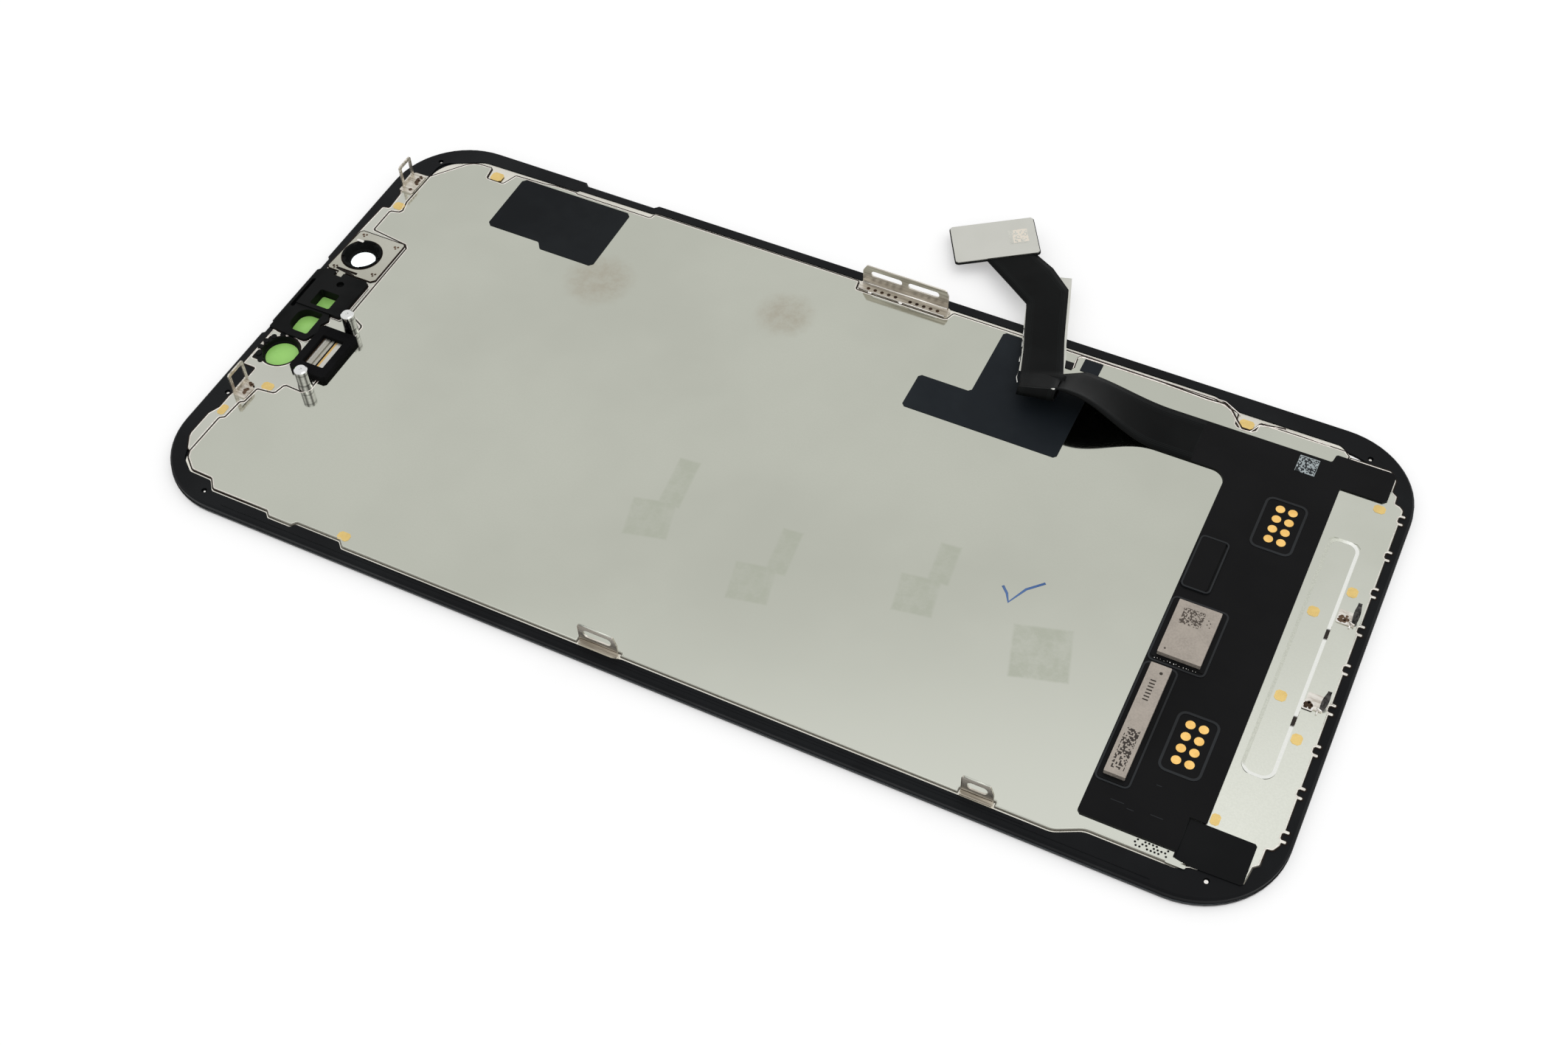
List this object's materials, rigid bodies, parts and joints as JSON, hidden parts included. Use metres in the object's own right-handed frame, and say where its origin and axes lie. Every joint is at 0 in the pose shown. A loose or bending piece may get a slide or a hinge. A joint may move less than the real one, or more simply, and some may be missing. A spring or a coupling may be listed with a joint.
{
  "type": "phone lcd screen assembly",
  "caption": "Phone display module on its cover glass: black bezel, steel back plate, sensor bay, driver board, slotted clips and a flexible tail with its connector.",
  "frame": {"origin": "middle of the cover glass's front face", "axes": "+X toward the driver board's end, +Y toward the side that the flexible tail leaves, +Z from the glass up to the module's back"},
  "size_m": [0.1404, 0.0855, 0.0064],
  "materials": {
    "clear_glass": "polished clear cover glass",
    "black_ink": "black ink printed on the glass",
    "clear_adhesive": "clear optical adhesive",
    "display_black": "dark display cell between its polarisers",
    "film_white": "diffuser and prism films",
    "guide_acrylic": "clear acrylic light guide",
    "led_strip": "light strip on its film",
    "reflector_foil": "silvered reflector foil",
    "bright_steel": "bright stamped stainless sheet",
    "rear_steel": "satin stainless sheet",
    "bracket_steel": "light satin stainless sheet",
    "bezel_black": "moulded black plastic, satin",
    "holder_black": "moulded black plastic, matt",
    "green_window": "green filter film",
    "polished_stud": "turned and polished",
    "gasket_rubber": "black foam rubber",
    "contact_strips": "bright strips with one gilt",
    "mesh_steel": "fine dark mesh",
    "film_black": "black film over a flexible circuit",
    "chip_lid": "matt grey chip lid",
    "gold": "gold plated",
    "tape_black": "thin black tape",
    "label_grey": "small printed label",
    "stiffener_steel": "brushed stiffener plate",
    "connector_black": "moulded connector body",
    "silver_ply": "silver shielding film"
  },
  "bodies": {
    "root": {"backlight_tray": "bright_steel", "bezel_frame": "bezel_black", "border_print": "black_ink", "bracket_pads": "gold", "camera_bracket": "rear_steel", "camera_ring": "holder_black", "code_label": "label_grey", "contact_pads_far": "gold", "contact_pads_near": "gold", "corner_hook_far": "bright_steel", "corner_hook_near": "bright_steel", "corner_tape": "tape_black", "cover_glass": "clear_glass", "display_cell": "display_black", "display_connector": "connector_black", "display_flex": "film_black", "driver_board": "film_black", "driver_chip_long": "chip_lid", "driver_chip_square": "chip_lid", "earpiece_mesh": "mesh_steel", "end_bracket": "bracket_steel", "film_stack": "film_white", "flex_stiffener": "stiffener_steel", "gasket_contacts": "contact_strips", "ground_pads": "gold", "half_round_window": "green_window", "led_strip": "led_strip", "light_guide": "guide_acrylic", "optical_adhesive": "clear_adhesive", "rear_plate": "rear_steel", "reflector_sheet": "reflector_foil", "round_window": "green_window", "round_window_ring": "holder_black", "sensor_gasket": "gasket_rubber", "sensor_holder": "holder_black", "sensor_plate": "rear_steel", "side_clip_left": "bright_steel", "side_clip_right": "bright_steel", "slotted_bracket": "bright_steel", "spring_clip_far": "bright_steel", "spring_clip_near": "bright_steel", "square_window": "green_window", "stud_far": "polished_stud", "stud_near": "polished_stud", "tape_flex": "tape_black", "tape_scrap": "tape_black", "tape_upper": "tape_black", "touch_connector": "connector_black", "touch_flex": "silver_ply"}
  },
  "joints": []
}
